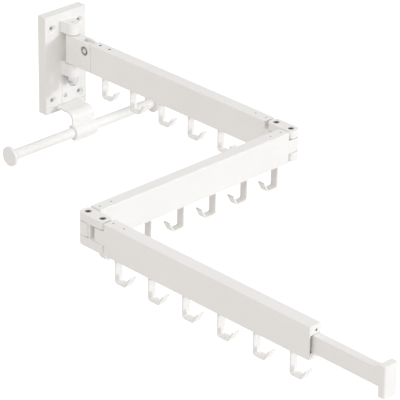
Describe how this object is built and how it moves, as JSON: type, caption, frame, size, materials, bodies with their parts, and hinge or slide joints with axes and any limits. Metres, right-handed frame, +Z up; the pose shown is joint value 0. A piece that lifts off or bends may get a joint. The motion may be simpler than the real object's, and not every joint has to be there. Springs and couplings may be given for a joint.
{
  "type": "wall-mounted clothes rail",
  "caption": "Folding wall rail: swivel bracket, arms joined by double-pin elbows with strip hooks underneath, a pull-out end bar and a sliding towel rod.",
  "frame": {"origin": "centre of the four wall screws, on the back of the wall bracket, where it meets the wall", "axes": "+Z up the wall, +X to the right along it as seen from the room, -Y out into the room"},
  "size_m": [0.435, 0.8273, 0.1602],
  "materials": {
    "white_steel": "satin white powder coat",
    "white_casting": "die casting with satin white powder coat",
    "white_plastic": "moulded white, satin",
    "chromed_steel": "bright chrome",
    "zinc_steel": "bright zinc",
    "dark_steel": "black oxide",
    "grey_plastic": "plain nylon"
  },
  "bodies": {
    "wall": {"wall_bracket": "white_casting", "pivot_bolt": "chromed_steel", "pivot_washer": "chromed_steel", "swivel_washers": "grey_plastic", "rod_holder": "white_steel", "holder_screw": "zinc_steel"},
    "swivel": {"swivel_block": "white_casting", "pitch_bolt": "zinc_steel", "pitch_nut": "zinc_steel", "pitch_washers": "grey_plastic"},
    "arm_1": {"arm_1_tube_body": "white_steel", "arm_1_root_fork": "white_casting", "arm_1_root_screws": "dark_steel", "arm_1_end_insert": "white_casting", "arm_1_end_pins": "zinc_steel", "arm_1_hook_1": "white_steel", "arm_1_hook_2": "white_steel", "arm_1_hook_3": "white_steel", "arm_1_hook_4": "white_steel", "arm_1_hook_5": "white_steel", "arm_1_hook_6": "white_steel"},
    "link_1": {"elbow_1_link": "white_casting", "elbow_1_pins": "dark_steel", "elbow_1_nuts": "zinc_steel", "elbow_1_washers": "grey_plastic"},
    "arm_2": {"arm_2_tube_body": "white_steel", "arm_2_root_insert": "white_casting", "arm_2_root_pins": "zinc_steel", "arm_2_end_insert": "white_casting", "arm_2_end_pins": "zinc_steel", "arm_2_hook_1": "white_steel", "arm_2_hook_2": "white_steel", "arm_2_hook_3": "white_steel", "arm_2_hook_4": "white_steel", "arm_2_hook_5": "white_steel", "arm_2_hook_6": "white_steel"},
    "link_2": {"elbow_2_link": "white_casting", "elbow_2_pins": "dark_steel", "elbow_2_nuts": "zinc_steel", "elbow_2_washers": "grey_plastic"},
    "arm_3": {"arm_3_tube_body": "white_steel", "arm_3_root_insert": "white_casting", "arm_3_root_pins": "zinc_steel", "arm_3_end_cap": "white_plastic", "arm_3_cap_screw": "dark_steel", "arm_3_hook_1": "white_steel", "arm_3_hook_2": "white_steel", "arm_3_hook_3": "white_steel", "arm_3_hook_4": "white_steel", "arm_3_hook_5": "white_steel", "arm_3_hook_6": "white_steel"},
    "extension": {"extension_bar": "white_steel", "extension_slider": "grey_plastic", "slider_screw": "zinc_steel"},
    "towel_rod": {"towel_rod": "white_steel", "rod_cap_left": "white_plastic", "rod_cap_right": "white_plastic"}
  },
  "joints": [
    {"name": "swivel_yaw", "type": "hinge", "parent": "wall", "child": "swivel", "pos_m": [0, -0.0264, 0.021], "axis": [0, 0, -1], "range_deg": [-90, 90]},
    {"name": "arm_tilt", "type": "hinge", "parent": "swivel", "child": "arm_1", "pos_m": [0, -0.0566, 0.0281], "axis": [-1, 0, 0], "range_deg": [0, 90]},
    {"name": "elbow_1_inner", "type": "hinge", "parent": "arm_1", "child": "link_1", "pos_m": [0, -0.3758, 0.021], "axis": [0, 0, 1], "range_deg": [-90, 90]},
    {"name": "elbow_1_outer", "type": "hinge", "parent": "link_1", "child": "arm_2", "pos_m": [0, -0.3988, 0.021], "axis": [0, 0, 1], "range_deg": [0, 180]},
    {"name": "elbow_2_inner", "type": "hinge", "parent": "arm_2", "child": "link_2", "pos_m": [-0.307, -0.3988, 0.021], "axis": [0, 0, -1], "range_deg": [0, 180]},
    {"name": "elbow_2_outer", "type": "hinge", "parent": "link_2", "child": "arm_3", "pos_m": [-0.307, -0.4218, 0.021], "axis": [0, 0, -1], "range_deg": [-90, 90]},
    {"name": "extension_slide", "type": "slide", "parent": "arm_3", "child": "extension", "axis": [0, -1, 0], "range_m": [-0.072, 0.04]},
    {"name": "rod_slide", "type": "slide", "parent": "wall", "child": "towel_rod", "axis": [1, 0, 0], "range_m": [-0.095, 0.095]}
  ]
}
